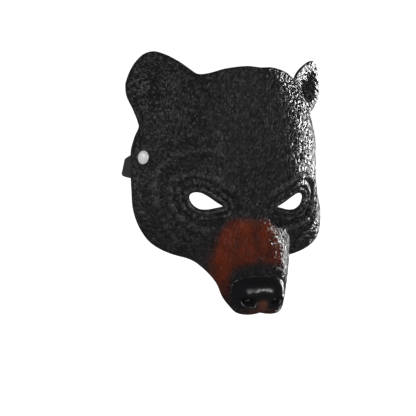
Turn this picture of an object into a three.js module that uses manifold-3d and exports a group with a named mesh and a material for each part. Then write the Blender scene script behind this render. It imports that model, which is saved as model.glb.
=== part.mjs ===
import * as THREE from "three";
import { mergeVertices } from "three/addons/utils/BufferGeometryUtils.js";
import Module from "manifold-3d";

// A moulded foam half mask of a bear's face, held on by an elastic strap with two rivets.
// Sizes in millimetres. +X is the wearer's left, -Y is forward, +Z is up.
// The origin is the middle of the plane of the rim, at the height of the eyes.

const FACE_WIDTH = 210; // across the cheeks
const FACE_DEPTH = 79; // from the plane of the rim forward to the face between the eyes
const FOREHEAD_HEIGHT = 128; // from the eyes up to the top edge
const LIP_DROP = 92; // from the eyes down to the lip edge
const MUZZLE_WIDTH = 108; // across its root
const MUZZLE_REACH = 138; // from the plane of the rim forward to the lip
const MUZZLE_BLEND = 14; // how softly the muzzle runs into the face
const WALL = 3; // foam thickness

const EAR_DISTANCE = 63.8; // from the origin to the plane of the ears' fronts
const EAR_TURN = 31.5; // degrees that an ear's front turns outward
const EAR_LEAN = 12; // degrees that it tips up
const EAR_BLEND = 15; // how softly an ear runs into the forehead
const EAR_CUP_DEPTH = 6.5;
const EAR_CUP_WIDTH = 38;
const EAR_CUP_HEIGHT = 34;

const EYE_LENGTH = 36; // eye opening, corner to corner
const EYE_HEIGHT = 17.5;
const EYE_SPACING = 96.5; // between the middles of the two eye openings
const SOCKET_DEPTH = 2.5;
const BROW_RISE = 2;

const NOSE_WIDTH = 55;
const NOSE_HEIGHT = 26;
const NOSE_MIDDLE = 72; // below the eyes
const NOSE_RISE = 3.5;
const NOSTRIL_SPACING = 30;
const NOSTRIL_WIDTH = 17.5;
const NOSTRIL_HEIGHT = 11;
const NOSTRIL_DROP = 4.6; // below the middle of the nose
const NOSTRIL_DEPTH = 3.5;

const RIVET_ANGLE = 75.6; // degrees round from straight ahead
const CAP_DIAMETER = 13;
const CAP_RISE = 2.8;
const CAP_EDGE = 0.8;
const POST_DIAMETER = 4;
const BACK_CAP_DIAMETER = 10;
const BACK_CAP_THICKNESS = 1.2;

const STRAP_WIDTH = 15;
const STRAP_THICKNESS = 1.5;
const STRAP_END = 9; // past the rivet, inside the mask
const STRAP_BACK = 108; // from the plane of the rim to the back of the strap
const STRAP_SPAN = 168; // across the strap where it leaves the wearer's temples
const STRAP_SLOPE = 29; // degrees that it runs down toward the back

const GAP = 0.3; // between neighbouring pieces
const GRID_STEP = 5.2; // spacing of the places where the wall is shaped
const GRID_END = 100; // degrees, past the outline on either side

// Heights are shares of FOREHEAD_HEIGHT above the eyes, and of LIP_DROP below them.
const level = (share) => share * (share > 0 ? FOREHEAD_HEIGHT : LIP_DROP);
const RIVET_HEIGHT = level(0.187);

// Level sections of the face: half width and reach are shares of the face's half width and depth.
const FACE_SECTIONS = [
  { at: -1.06, halfWidth: 0.95, reach: 0.86, squareness: 4.6 },
  { at: -0.53, halfWidth: 1.07, reach: 0.94, squareness: 4.0 },
  { at: -0.29, halfWidth: 1.045, reach: 0.96, squareness: 3.4 },
  { at: 0, halfWidth: 0.985, reach: 1.0, squareness: 2.5 },
  { at: 0.22, halfWidth: 0.935, reach: 0.94, squareness: 2.1 },
  { at: 0.45, halfWidth: 0.895, reach: 0.82, squareness: 2.0 },
  { at: 0.69, halfWidth: 0.75, reach: 0.66, squareness: 2.0 },
  { at: 0.86, halfWidth: 0.55, reach: 0.53, squareness: 2.0 },
  { at: 1.0, halfWidth: 0.4, reach: 0.43, squareness: 2.0 },
  { at: 1.17, halfWidth: 0.19, reach: 0.18, squareness: 2.0 },
];

// Level sections of the muzzle. Reach is a share of the way from the face's depth to the lip.
const MUZZLE_SECTIONS = [
  { at: -1.06, halfWidth: 0.85, reach: 1.0, squareness: 3.8 },
  { at: -0.87, halfWidth: 0.88, reach: 0.98, squareness: 3.4 },
  { at: -0.745, halfWidth: 0.97, reach: 0.88, squareness: 3.2 },
  { at: -0.55, halfWidth: 1.08, reach: 0.66, squareness: 3.2 },
  { at: -0.4, halfWidth: 1.12, reach: 0.48, squareness: 3.0 },
  { at: -0.22, halfWidth: 0.98, reach: 0.29, squareness: 2.6 },
  { at: 0.015, halfWidth: 0.56, reach: 0.055, squareness: 2.4 },
  { at: 0.23, halfWidth: 0.3, reach: -0.31, squareness: 2.2 },
  { at: 0.5, halfWidth: 0.22, reach: -0.8, squareness: 2.0 },
  { at: 1.1, halfWidth: 0.15, reach: -1.2, squareness: 2.0 },
];

// The edge of the mask, from the middle of the top round one side to the middle of the lip.
// Angles are degrees round from straight ahead.
const OUTLINE = [
  { angle: 0, at: 0.98 },
  { angle: 22, at: 0.98 },
  { angle: 48, at: 0.935 },
  { angle: 63, at: 0.875 },
  { angle: 72, at: 0.85 },
  { angle: 81, at: 0.87 },
  { angle: 88, at: 0.902 },
  { angle: 92.8, at: 0.924 },
  { angle: 96, at: 0.928 },
  { angle: 97.5, at: 0.905 },
  { angle: 98.2, at: 0.86 },
  { angle: 98.4, at: 0.8 },
  { angle: 98.1, at: 0.735 },
  { angle: 97.4, at: 0.67 },
  { angle: 96.6, at: 0.615 },
  { angle: 96, at: 0.555 },
  { angle: 95.2, at: 0.5 },
  { angle: 93.6, at: 0.45 },
  { angle: 90.3, at: 0.41 },
  { angle: 87, at: 0.37 },
  { angle: 88.3, at: 0.28 },
  { angle: 87.5, at: 0.18 },
  { angle: 83, at: 0.09 },
  { angle: 78.5, at: 0 },
  { angle: 73.5, at: -0.12 },
  { angle: 69.5, at: -0.225 },
  { angle: 64.5, at: -0.335 },
  { angle: 60, at: -0.42 },
  { angle: 55, at: -0.51 },
  { angle: 50, at: -0.57 },
  { angle: 43, at: -0.622 },
  { angle: 36, at: -0.652 },
  { angle: 30, at: -0.665 },
  { angle: 25, at: -0.687 },
  { angle: 20, at: -0.75 },
  { angle: 16.5, at: -0.865 },
  { angle: 13.5, at: -0.925 },
  { angle: 10.6, at: -0.97 },
  { angle: 7, at: -0.98 },
  { angle: 3.5, at: -0.976 },
  { angle: 0, at: -0.962 },
];

// The eye opening's edge: across and up from its middle, as shares of its length and height.
const EYE_EDGE = [
  { across: -0.5, up: -0.245 },
  { across: -0.27, up: 0.035 },
  { across: -0.02, up: 0.31 },
  { across: 0.22, up: 0.47 },
  { across: 0.42, up: 0.38 },
  { across: 0.5, up: 0.14 },
  { across: 0.42, up: -0.23 },
  { across: 0.22, up: -0.48 },
  { across: -0.02, up: -0.51 },
  { across: -0.27, up: -0.4 },
];
const EYE_MIDDLE = level(0.003); // height of the middle of the eye opening

// Soft rises and dents of the wall. Place and size are shares of the face's half width.
const FORMS = [
  { name: "socket", across: 0.44, at: 0.01, wide: 0.3, tall: 0.19, rise: -SOCKET_DEPTH },
  { name: "inner corner", across: 0.26, at: -0.06, wide: 0.11, tall: 0.13, rise: -0.4 * SOCKET_DEPTH },
  { name: "brow", across: 0.5, at: 0.19, wide: 0.24, tall: 0.1, rise: BROW_RISE },
  { name: "cheekbone", across: 0.7, at: -0.22, wide: 0.2, tall: 0.13, rise: 0.6 * BROW_RISE },
];

const RAD = Math.PI / 180;
const smoothStep = (from, to, x) => THREE.MathUtils.smoothstep(x, from, to);

// A section value at a height, on a smooth curve through the rows.
function column(rows, key, height) {
  const last = rows.length - 1;
  const h = THREE.MathUtils.clamp(height, level(rows[0].at), level(rows[last].at));
  let i = 0;
  while (i < last - 1 && level(rows[i + 1].at) < h) i += 1;
  const slope = (k) => {
    const low = rows[Math.max(k - 1, 0)];
    const high = rows[Math.min(k + 1, last)];
    return (high[key] - low[key]) / (level(high.at) - level(low.at));
  };
  const span = level(rows[i + 1].at) - level(rows[i].at);
  const t = (h - level(rows[i].at)) / span;
  const rise = rows[i + 1][key] - rows[i][key];
  const ease = t * t * (3 - 2 * t);
  const start = t * (1 - t) * (1 - t) * span * slope(i);
  const finish = t * t * (t - 1) * span * slope(i + 1);
  return rows[i][key] + rise * ease + start + finish;
}

// Radius of a squarish oval, along the direction with this sine and cosine.
function oval(sine, cosine, halfWidth, reach, squareness) {
  return (Math.abs(sine / halfWidth) ** squareness + Math.abs(cosine / reach) ** squareness) ** (-1 / squareness);
}

// The larger of two lengths, rounded where they meet.
function softMax(a, b, blend) {
  const h = THREE.MathUtils.clamp(0.5 + (0.5 * (a - b)) / blend, 0, 1);
  return b + (a - b) * h + blend * h * (1 - h);
}

const bell = (x, y) => Math.exp(-x * x - y * y);

const EAR_NORMAL = {
  x: Math.cos(EAR_LEAN * RAD) * Math.sin(EAR_TURN * RAD),
  y: Math.cos(EAR_LEAN * RAD) * Math.cos(EAR_TURN * RAD),
  z: Math.sin(EAR_LEAN * RAD),
};
const EAR_CUP_ACROSS = 0.42 * FACE_WIDTH;
const EAR_CUP_MIDDLE = level(0.7);
const EAR_LOW = level(0.31); // an ear grows out of the face between these heights
const EAR_HIGH = level(0.66);
const EAR_START = 58; // and between these angles
const EAR_FULL = 82;
const LEAST_FACING = 0.2; // keeps a flat front's radius finite where it turns away

function earRadius(sine, cosine, height, faceRadius) {
  const facing = Math.max(EAR_NORMAL.x * sine + EAR_NORMAL.y * cosine, LEAST_FACING);
  const flat = (EAR_DISTANCE - EAR_NORMAL.z * height) / facing;
  const across = (flat * sine - EAR_CUP_ACROSS) / (EAR_CUP_WIDTH / 2);
  const up = (height - EAR_CUP_MIDDLE) / (EAR_CUP_HEIGHT / 2);
  const cupped = flat - (EAR_CUP_DEPTH * bell(across, up)) / facing;
  const angle = Math.atan2(sine, cosine) / RAD;
  const share = smoothStep(EAR_LOW, EAR_HIGH, height) * smoothStep(EAR_START, EAR_FULL, angle);
  return faceRadius + (cupped - faceRadius) * share;
}

const LEAST_COSINE = 0.05; // keeps the muzzle's section in front of the rim

// Distance of the wall's outside from the upright axis through the origin.
function formRadius(angle, height) {
  const sine = Math.sin(Math.abs(angle) * RAD);
  const cosine = Math.cos(angle * RAD);
  const half = FACE_WIDTH / 2;
  const face = oval(
    sine,
    cosine,
    column(FACE_SECTIONS, "halfWidth", height) * half,
    column(FACE_SECTIONS, "reach", height) * FACE_DEPTH,
    column(FACE_SECTIONS, "squareness", height),
  );
  const muzzle = oval(
    sine,
    Math.max(cosine, LEAST_COSINE),
    (column(MUZZLE_SECTIONS, "halfWidth", height) * MUZZLE_WIDTH) / 2,
    FACE_DEPTH + column(MUZZLE_SECTIONS, "reach", height) * (MUZZLE_REACH - FACE_DEPTH),
    column(MUZZLE_SECTIONS, "squareness", height),
  );
  const eared = softMax(face, earRadius(sine, cosine, height, face), EAR_BLEND);
  let radius = softMax(eared, muzzle, MUZZLE_BLEND);
  const across = radius * sine;
  for (const form of FORMS) {
    const x = (across - form.across * half) / (form.wide * half);
    const z = (height - level(form.at)) / (form.tall * half);
    radius += form.rise * bell(x, z);
  }
  return radius;
}

const PAD_ROUND = { from: 0.75, to: 1.1 }; // the pad's edge slopes between these shares of its size
const PAD_SQUARENESS = 4;
const NOSTRIL_SPREAD = 0.4; // a dent's bell width as a share of the nostril
const NOSE_FADE = { from: 60, to: 30 }; // degrees round from straight ahead

// The nose pad stands proud of the muzzle, and its nostrils are sunk into it.
function noseRise(across, height) {
  const x = Math.abs(across) / (NOSE_WIDTH / 2);
  const z = Math.abs(height + NOSE_MIDDLE) / (NOSE_HEIGHT / 2);
  const away = (x ** PAD_SQUARENESS + z ** PAD_SQUARENESS) ** (1 / PAD_SQUARENESS);
  const pad = 1 - smoothStep(PAD_ROUND.from, PAD_ROUND.to, away);
  const aside = (Math.abs(across) - NOSTRIL_SPACING / 2) / (NOSTRIL_SPREAD * NOSTRIL_WIDTH);
  const above = (height + NOSE_MIDDLE + NOSTRIL_DROP) / (NOSTRIL_SPREAD * NOSTRIL_HEIGHT);
  return NOSE_RISE * pad - NOSTRIL_DEPTH * bell(aside, above);
}

const onAxis = (angle, height, radius) =>
  new THREE.Vector3(radius * Math.sin(angle * RAD), -radius * Math.cos(angle * RAD), height);

const formPoint = (angle, height) => onAxis(angle, height, formRadius(angle, height));

function outerPoint(angle, height) {
  const radius = formRadius(angle, height);
  const front = smoothStep(NOSE_FADE.from, NOSE_FADE.to, Math.abs(angle));
  const nose = noseRise(radius * Math.sin(angle * RAD), height) * front;
  return onAxis(angle, height, radius + nose);
}

function formNormal(angle, height) {
  const round = formPoint(angle + 1, height).sub(formPoint(angle - 1, height));
  const up = formPoint(angle, height + 1).sub(formPoint(angle, height - 1));
  return round.cross(up).normalize();
}

const innerPoint = (angle, height, depth = WALL) =>
  formPoint(angle, height).addScaledVector(formNormal(angle, height), -depth);

// A closed smooth line through hand-chosen points.
function smoothLoop(points, steps) {
  const curve = new THREE.CatmullRomCurve3(points.map(([x, y]) => new THREE.Vector3(x, y, 0)), true, "centripetal");
  return curve.getPoints(steps);
}

// Distance into a closed line's inside, less than 0 outside it.
function insideDistance(loop, x, y) {
  let nearest = Infinity;
  let inside = false;
  for (let i = 1; i < loop.length; i += 1) {
    const a = loop[i - 1];
    const b = loop[i];
    const dx = b.x - a.x;
    const dy = b.y - a.y;
    const t = THREE.MathUtils.clamp(((x - a.x) * dx + (y - a.y) * dy) / (dx * dx + dy * dy || 1), 0, 1);
    nearest = Math.min(nearest, Math.hypot(x - a.x - t * dx, y - a.y - t * dy));
    if (a.y > y !== b.y > y && x < a.x + (dx * (y - a.y)) / dy) inside = !inside;
  }
  return inside ? nearest : -nearest;
}

const DEGREE = (FACE_WIDTH / 2) * RAD; // a degree of the outline as a length
const STEPS_PER_ROW = 4;
const oneSide = OUTLINE.map((row) => [row.angle * DEGREE, level(row.at)]);
const otherSide = oneSide.slice(1, -1).reverse().map(([x, y]) => [-x, y]);
const outline = [...oneSide, ...otherSide];
const EDGE = smoothLoop(outline, STEPS_PER_ROW * outline.length);
const eyeOutline = EYE_EDGE.map((row) => [row.across * EYE_LENGTH, row.up * EYE_HEIGHT]);
const EYE = smoothLoop(eyeOutline, 1.5 * STEPS_PER_ROW * eyeOutline.length);

// Distance from a point of the wall to the nearest edge, less than 0 where the mask is open.
function material(angle, height) {
  const edge = insideDistance(EDGE, angle * DEGREE, height);
  const across = Math.abs(formPoint(angle, height).x) - EYE_SPACING / 2;
  const eye = insideDistance(EYE, across, height - EYE_MIDDLE);
  return Math.min(edge, -eye);
}

// Angles along one level, with equal lengths of wall between them.
function evenAngles(height, count) {
  const lengths = [0];
  for (let angle = 1; angle <= GRID_END; angle += 1) {
    const stretch = formPoint(angle, height).distanceTo(formPoint(angle - 1, height));
    lengths.push(lengths[angle - 1] + stretch);
  }
  const angles = [];
  let angle = 0;
  for (let i = 0; i <= count; i += 1) {
    const wanted = (lengths[GRID_END] * i) / count;
    while (angle < GRID_END - 1 && lengths[angle + 1] < wanted) angle += 1;
    angles.push(angle + (wanted - lengths[angle]) / (lengths[angle + 1] - lengths[angle]));
  }
  return angles;
}

const SIDE_LENGTH = 0.8 * FACE_WIDTH; // wall from the middle round to one side, roughly

// A grid of places on the wall, with those next to an edge moved onto it.
function wallGrid() {
  const top = FOREHEAD_HEIGHT + GRID_STEP;
  const bottom = -LIP_DROP - GRID_STEP;
  const rowCount = Math.round((top - bottom) / GRID_STEP);
  const sideCount = Math.round(SIDE_LENGTH / GRID_STEP);
  const grid = [];
  for (let i = 0; i <= rowCount; i += 1) {
    const height = bottom + ((top - bottom) * i) / rowCount;
    const angles = evenAngles(height, sideCount);
    const both = [...angles.slice(1).reverse().map((a) => -a), ...angles];
    grid.push(both.map((angle) => ({ angle, height, inside: material(angle, height), reach: 1 })));
  }
  const meet = (a, b) => {
    if (a.inside * b.inside >= 0) return;
    const share = a.inside / (a.inside - b.inside);
    const [near, far, t] = share < 0.5 ? [a, b, share] : [b, a, 1 - share];
    if (t >= near.reach) return;
    near.reach = t;
    near.moved = [near.angle + t * (far.angle - near.angle), near.height + t * (far.height - near.height)];
  };
  for (let i = 0; i <= rowCount; i += 1) {
    for (let j = 0; j < grid[i].length; j += 1) {
      if (j + 1 < grid[i].length) meet(grid[i][j], grid[i][j + 1]);
      if (i < rowCount) meet(grid[i][j], grid[i + 1][j]);
    }
  }
  for (const spot of grid.flat()) {
    if (spot.moved) [spot.angle, spot.height] = spot.moved;
    if (spot.moved) spot.inside = 0;
    spot.outer = outerPoint(spot.angle, spot.height);
    spot.inner = innerPoint(spot.angle, spot.height);
  }
  return grid;
}

function isWall(corners) {
  if (corners.some((spot) => spot.inside < 0)) return false;
  if (corners.some((spot) => spot.inside > 0)) return true;
  const angle = (corners[0].angle + corners[1].angle + corners[2].angle) / 3;
  const height = (corners[0].height + corners[1].height + corners[2].height) / 3;
  return material(angle, height) > 0;
}

function wallTriangles(grid) {
  const kept = [];
  for (let i = 0; i + 1 < grid.length; i += 1) {
    for (let j = 0; j + 1 < grid[i].length; j += 1) {
      const [a, b, c, d] = [grid[i][j], grid[i][j + 1], grid[i + 1][j + 1], grid[i + 1][j]];
      const openCorner = a.inside < 0 || c.inside < 0;
      const otherOpen = b.inside < 0 || d.inside < 0;
      const shorter = b.outer.distanceTo(d.outer) < a.outer.distanceTo(c.outer);
      const splitAcross = openCorner || (shorter && !otherOpen);
      const pair = splitAcross ? [[a, b, d], [b, c, d]] : [[a, b, c], [a, c, d]];
      kept.push(...pair.filter(isWall));
    }
  }
  return kept;
}

function solidOf(triangles) {
  const geometry = new THREE.BufferGeometry();
  const numbers = triangles.flatMap((corners) => corners.flatMap((p) => [p.x, p.y, p.z]));
  geometry.setAttribute("position", new THREE.Float32BufferAttribute(numbers, 3));
  return mergeVertices(geometry, 1e-4);
}

// The moulded wall: its outside, its inside and the cut edge between them.
function shellGeometry() {
  const kept = wallTriangles(wallGrid());
  const numbers = new Map();
  const id = (spot) => numbers.get(spot) ?? numbers.set(spot, numbers.size).get(spot);
  const edges = new Map();
  for (const corners of kept) {
    for (let i = 0; i < 3; i += 1) {
      const [from, to] = [corners[i], corners[(i + 1) % 3]];
      const back = `${id(to)} ${id(from)}`;
      if (edges.has(back)) edges.delete(back);
      else edges.set(`${id(from)} ${id(to)}`, [from, to]);
    }
  }
  const triangles = [];
  for (const [a, b, c] of kept) {
    triangles.push([a.outer, b.outer, c.outer]);
    triangles.push([a.inner, c.inner, b.inner]);
  }
  for (const [from, to] of edges.values()) {
    triangles.push([from.outer, from.inner, to.outer]);
    triangles.push([to.outer, from.inner, to.inner]);
  }
  return solidOf(triangles);
}

const wasm = await Module();
wasm.setup();

function toManifold(geometry) {
  const bare = geometry.clone();
  bare.deleteAttribute("normal");
  bare.deleteAttribute("uv");
  const merged = mergeVertices(bare, 1e-4);
  return new wasm.Manifold(
    new wasm.Mesh({
      numProp: 3,
      vertProperties: new Float32Array(merged.attributes.position.array),
      triVerts: new Uint32Array(merged.index.array),
    }),
  );
}

function toGeometry(manifold) {
  const mesh = manifold.getMesh();
  const geometry = new THREE.BufferGeometry();
  geometry.setAttribute("position", new THREE.Float32BufferAttribute(mesh.vertProperties, 3));
  geometry.setIndex(new THREE.BufferAttribute(mesh.triVerts, 1));
  geometry.computeVertexNormals();
  return geometry;
}

// A rivet's own axis: its middle is on the wall's outside and it points outward.
function rivetPlace(sign) {
  const angle = sign * RIVET_ANGLE;
  const outward = formNormal(angle, RIVET_HEIGHT);
  const turn = new THREE.Quaternion().setFromUnitVectors(new THREE.Vector3(0, 1, 0), outward);
  return new THREE.Matrix4().compose(formPoint(angle, RIVET_HEIGHT), turn, new THREE.Vector3(1, 1, 1));
}

const ROUND_SEAT = 0.5; // a rivet's flat faces clear the curved wall and strap
const ROUND_SIDES = 24;
const DOME_STEPS = 5;
const STRAP_DEPTH = WALL + 2 * GAP; // from the wall's outside to the strap's long edges
const STRAP_HALF = STRAP_WIDTH / 2 / Math.cos(STRAP_SLOPE * RAD); // half its width, measured upright

// The wall bulges between the strap's long edges, so the strap lies a little deeper at its middle.
function strapMiddleDepth() {
  const upper = innerPoint(RIVET_ANGLE, RIVET_HEIGHT + STRAP_HALF, STRAP_DEPTH);
  const lower = innerPoint(RIVET_ANGLE, RIVET_HEIGHT - STRAP_HALF, STRAP_DEPTH);
  const middle = upper.add(lower).multiplyScalar(0.5);
  const outward = formNormal(RIVET_ANGLE, RIVET_HEIGHT);
  return formPoint(RIVET_ANGLE, RIVET_HEIGHT).sub(middle).dot(outward);
}

function rivetGeometry() {
  const backFace = -strapMiddleDepth() - STRAP_THICKNESS - ROUND_SEAT;
  const post = POST_DIAMETER / 2;
  const cap = CAP_DIAMETER / 2;
  const backCap = BACK_CAP_DIAMETER / 2;
  const profile = [[0, backFace - BACK_CAP_THICKNESS]];
  profile.push([backCap, backFace - BACK_CAP_THICKNESS], [backCap, backFace]);
  profile.push([post, backFace], [post, ROUND_SEAT], [cap, ROUND_SEAT]);
  for (let i = 0; i <= DOME_STEPS; i += 1) {
    const turn = (Math.PI / 2) * (i / DOME_STEPS);
    profile.push([cap * Math.cos(turn), ROUND_SEAT + CAP_EDGE + (CAP_RISE - CAP_EDGE) * Math.sin(turn)]);
  }
  profile[profile.length - 1][0] = 0;
  return new THREE.LatheGeometry(profile.map(([x, y]) => new THREE.Vector2(x, y)), ROUND_SIDES);
}

// The hole that a rivet's post passes through.
function postHole(sign) {
  const radius = POST_DIAMETER / 2 + GAP;
  const geometry = new THREE.CylinderGeometry(radius, radius, 6 * WALL, ROUND_SIDES);
  return toManifold(geometry.applyMatrix4(rivetPlace(sign)));
}

// The strap's run from the rivet round the back of the head, seen from above.
// Across is a share of half the span, back is a share of the way to the strap's back.
const STRAP_RUN = [
  { across: 1.07, back: 0.16 },
  { across: 0.95, back: 0.42 },
  { across: 0.8, back: 0.62 },
  { across: 0.56, back: 0.81 },
  { across: 0.29, back: 0.945 },
  { across: 0, back: 1 },
];

const STRAP_LEAVES = 8; // degrees past the rivet where the strap leaves the wall
const WALL_STEPS = 8; // cross lines along the wall
const FREE_STEPS = 40; // and round the back
const TWIST_OUT = 0.12; // share of the free run over which the strap stands upright

const strapHeight = (y, rivetY) => RIVET_HEIGHT - Math.tan(STRAP_SLOPE * RAD) * (y - rivetY);

// One cross line of the strap: the upper and lower edge of its outer face, and the way inward.
function strapStations() {
  const rivet = formPoint(RIVET_ANGLE, RIVET_HEIGHT);
  const stations = [];
  const first = RIVET_ANGLE - STRAP_END / DEGREE;
  const last = RIVET_ANGLE + STRAP_LEAVES;
  for (let i = 0; i <= WALL_STEPS; i += 1) {
    const angle = first + ((last - first) * i) / WALL_STEPS;
    const y = formPoint(angle, RIVET_HEIGHT).y;
    const middle = strapHeight(y, rivet.y);
    stations.push({
      upper: innerPoint(angle, middle + STRAP_HALF, STRAP_DEPTH),
      lower: innerPoint(angle, middle - STRAP_HALF, STRAP_DEPTH),
      inward: formNormal(angle, middle).negate(),
    });
  }
  const leave = stations[stations.length - 1];
  const start = leave.upper.clone().add(leave.lower).multiplyScalar(0.5);
  const run = STRAP_RUN.map((row) => {
    const y = row.back * STRAP_BACK;
    return new THREE.Vector3((row.across * STRAP_SPAN) / 2, y, strapHeight(y, rivet.y));
  });
  const mirrored = run.slice(0, -1).reverse().map((p) => new THREE.Vector3(-p.x, p.y, p.z));
  const end = new THREE.Vector3(-start.x, start.y, start.z);
  const curve = new THREE.CatmullRomCurve3([start, ...run, ...mirrored, end], false, "centripetal");
  const round = [];
  for (let i = 1; i < FREE_STEPS; i += 1) {
    const share = i / FREE_STEPS;
    const middle = curve.getPointAt(share);
    const along = curve.getTangentAt(share);
    const inward = new THREE.Vector3(-along.y, along.x, 0).normalize();
    const free = smoothStep(0, TWIST_OUT, Math.min(share, 1 - share));
    const edge = leave.upper.clone().sub(leave.lower).multiplyScalar(0.5);
    if (share > 0.5) edge.x *= -1;
    edge.lerp(new THREE.Vector3(0, 0, STRAP_HALF), free);
    round.push({ upper: middle.clone().add(edge), lower: middle.clone().sub(edge), inward });
  }
  const flip = (p) => new THREE.Vector3(-p.x, p.y, p.z);
  const far = stations.map((s) => ({ upper: flip(s.upper), lower: flip(s.lower), inward: flip(s.inward) }));
  return [...stations, ...round, ...far.reverse()];
}

function strapGeometry() {
  const rings = strapStations().map(({ upper, lower, inward }) => [
    upper,
    lower,
    lower.clone().addScaledVector(inward, STRAP_THICKNESS),
    upper.clone().addScaledVector(inward, STRAP_THICKNESS),
  ]);
  const triangles = [];
  for (let i = 0; i + 1 < rings.length; i += 1) {
    for (let j = 0; j < 4; j += 1) {
      const k = (j + 1) % 4;
      const [a, b, c, d] = [rings[i][j], rings[i][k], rings[i + 1][k], rings[i + 1][j]];
      triangles.push([a, b, c], [a, c, d]);
    }
  }
  const [head, tail] = [rings[0], rings[rings.length - 1]];
  triangles.push([head[0], head[2], head[1]], [head[0], head[3], head[2]]);
  triangles.push([tail[0], tail[1], tail[2]], [tail[0], tail[2], tail[3]]);
  return solidOf(triangles);
}

const MATERIALS = {
  foam: new THREE.MeshStandardMaterial({ color: 0x17171a, roughness: 0.62, metalness: 0 }),
  elastic: new THREE.MeshStandardMaterial({ color: 0x222126, roughness: 0.85, metalness: 0 }),
  steel: new THREE.MeshStandardMaterial({ color: 0xd9dbde, roughness: 0.3, metalness: 0.9 }),
};

function pierced(geometry) {
  const solid = toManifold(geometry);
  return toGeometry(solid.subtract(postHole(1)).subtract(postHole(-1)));
}

const mask = new THREE.Group();
function add(name, geometry, finish) {
  const mesh = new THREE.Mesh(geometry, finish);
  mesh.name = name;
  mask.add(mesh);
  return mesh;
}

add("mask_shell", pierced(shellGeometry()), MATERIALS.foam);
add("elastic_strap", pierced(strapGeometry()), MATERIALS.elastic);
for (const [name, sign] of [["rivet_left", 1], ["rivet_right", -1]]) {
  const rivet = add(name, rivetGeometry(), MATERIALS.steel);
  rivet.applyMatrix4(rivetPlace(sign));
}

export default mask;
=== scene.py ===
"""The looks of a moulded foam half mask of a bear's face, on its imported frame.

Lengths are in millimetres until a mesh is made, and in metres from there on.
+X is the wearer's left, -Y is forward, +Z is up.
"""
import math

import bpy
import numpy as np
from mathutils import Matrix, Vector

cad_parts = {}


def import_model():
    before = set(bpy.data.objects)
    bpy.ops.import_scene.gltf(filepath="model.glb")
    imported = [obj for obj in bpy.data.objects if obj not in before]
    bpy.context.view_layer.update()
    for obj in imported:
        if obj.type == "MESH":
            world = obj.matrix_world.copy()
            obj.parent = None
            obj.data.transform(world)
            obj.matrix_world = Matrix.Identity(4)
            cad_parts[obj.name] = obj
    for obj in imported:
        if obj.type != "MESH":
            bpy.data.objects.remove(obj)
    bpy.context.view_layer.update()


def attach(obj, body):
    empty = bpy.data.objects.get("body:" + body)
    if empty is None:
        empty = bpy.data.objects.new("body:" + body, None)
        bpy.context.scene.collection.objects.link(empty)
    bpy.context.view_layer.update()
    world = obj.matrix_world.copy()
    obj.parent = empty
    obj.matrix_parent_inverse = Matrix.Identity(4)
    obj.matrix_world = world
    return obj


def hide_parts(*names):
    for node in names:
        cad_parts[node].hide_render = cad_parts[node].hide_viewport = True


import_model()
MM = 0.001
SEED = 7

# Sizes of the moulded wall, the rivets and the strap, as in the part's source
FACE_WIDTH = 210
FACE_DEPTH = 79
FOREHEAD_HEIGHT = 128
LIP_DROP = 92
MUZZLE_WIDTH = 108
MUZZLE_REACH = 138
MUZZLE_BLEND = 14
WALL = 3
EAR_DISTANCE = 63.8
EAR_TURN = math.radians(31.5)
EAR_LEAN = math.radians(12)
EAR_BLEND = 15
EAR_CUP_DEPTH = 6.5
EAR_CUP_WIDTH = 38
EAR_CUP_HEIGHT = 34
EYE_LENGTH = 36
EYE_HEIGHT = 17.5
EYE_SPACING = 96.5
SOCKET_DEPTH = 2.5
BROW_RISE = 2
NOSE_WIDTH = 55
NOSE_HEIGHT = 26
NOSE_MIDDLE = 72
NOSTRIL_SPACING = 30
RIVET_ANGLE = 75.6
RIVET_HEIGHT = 0.187 * FOREHEAD_HEIGHT
CAP_DIAMETER = 13
CAP_RISE = 2.8
CAP_EDGE = 0.8
POST_DIAMETER = 4
BACK_CAP_DIAMETER = 10
BACK_CAP_THICKNESS = 1.2
ROUND_SEAT = 0.5
STRAP_WIDTH = 15
STRAP_THICKNESS = 1.5
STRAP_END = 9
STRAP_BACK = 108
STRAP_SPAN = 168
STRAP_SLOPE = math.radians(29)
GAP = 0.3

HALF = FACE_WIDTH / 2
DEGREE = HALF * math.pi / 180  # length of one degree on the outline's flat plan
SKIN_STEP = 1.15  # spacing of the fine surface
EDGE_STEPS = 4  # of a smooth line between two of its points
EYE_STEPS = 8
STRAP_STEPS = 16
EDGE_ANGLE = 100  # degrees that the fine surface reaches to either side

# In these tables a height is a share of the forehead's height, or below 0 of the lip's drop.
# height, share of the face's half width, share of its depth, squareness of the section
FACE_SECTIONS = [
    (-1.06, 0.95, 0.86, 4.6),
    (-0.53, 1.07, 0.94, 4.0),
    (-0.29, 1.045, 0.96, 3.4),
    (0, 0.985, 1.0, 2.5),
    (0.22, 0.935, 0.94, 2.1),
    (0.45, 0.895, 0.82, 2.0),
    (0.69, 0.75, 0.66, 2.0),
    (0.86, 0.55, 0.53, 2.0),
    (1.0, 0.4, 0.43, 2.0),
    (1.17, 0.19, 0.18, 2.0),
]
# height, share of half the muzzle's width, share of its reach past the face, squareness
MUZZLE_SECTIONS = [
    (-1.06, 0.85, 1.0, 3.8),
    (-0.87, 0.88, 0.98, 3.4),
    (-0.745, 0.97, 0.88, 3.2),
    (-0.55, 1.08, 0.66, 3.2),
    (-0.4, 1.12, 0.48, 3.0),
    (-0.22, 0.98, 0.29, 2.6),
    (0.015, 0.56, 0.055, 2.4),
    (0.23, 0.3, -0.31, 2.2),
    (0.5, 0.22, -0.8, 2.0),
    (1.1, 0.15, -1.2, 2.0),
]
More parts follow.
